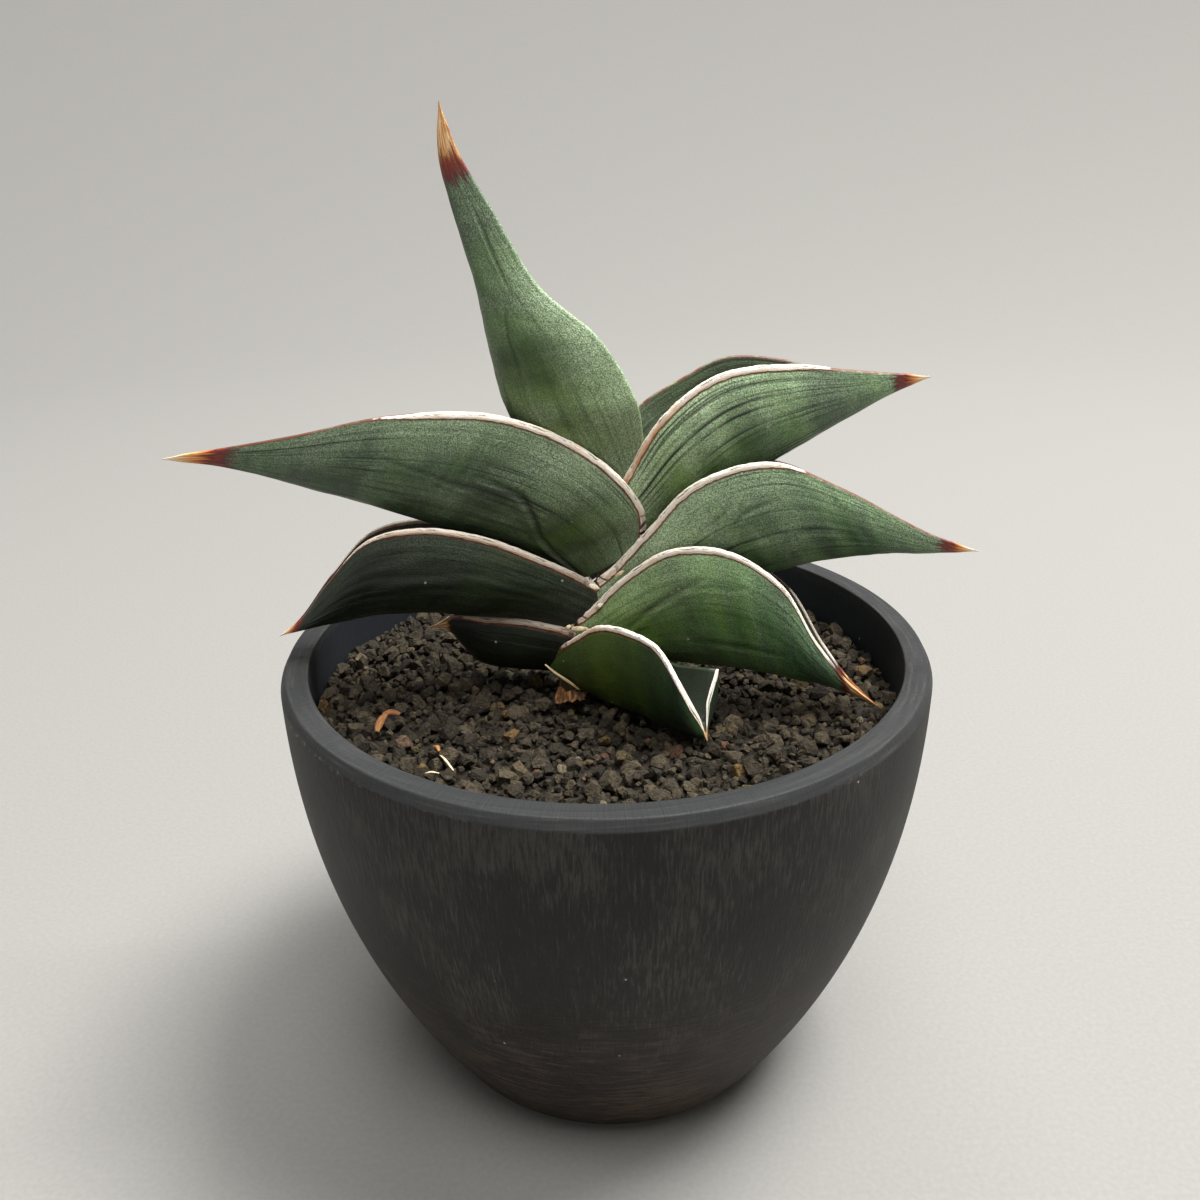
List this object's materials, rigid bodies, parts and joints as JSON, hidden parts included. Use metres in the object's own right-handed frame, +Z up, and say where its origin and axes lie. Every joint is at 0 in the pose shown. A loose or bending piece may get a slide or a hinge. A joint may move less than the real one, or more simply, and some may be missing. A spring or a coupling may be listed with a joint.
{
  "type": "potted sansevieria rorida",
  "caption": "Young succulent with a flat fan of thick channelled leaves, pale margins and sharp spines, rooted in granular soil in a round dark pot",
  "frame": {"origin": "middle of the pot's flat foot, on the surface it stands on", "axes": "+Z up; the fan of leaves lies along X with its tall upright leaf leaning to -X; -Y is the side the picture shows"},
  "size_m": [0.1553, 0.13, 0.1964],
  "materials": {
    "pot": "satin, faintly brushed, dark grey",
    "soil": "matte dry grains",
    "rootstock": "matte, ringed",
    "leaf": "satin green with a grey bloom, pale papery margins",
    "dry_scale": "matte, dry, fibrous"
  },
  "bodies": {
    "root": {"pot": "pot", "soil": "soil", "rootstock": "rootstock", "leaf_1": "leaf", "leaf_2": "leaf", "leaf_3": "leaf", "leaf_4": "leaf", "leaf_5": "leaf", "leaf_6": "leaf", "leaf_7": "leaf", "leaf_8": "leaf", "dry_scale": "dry_scale"}
  },
  "joints": []
}
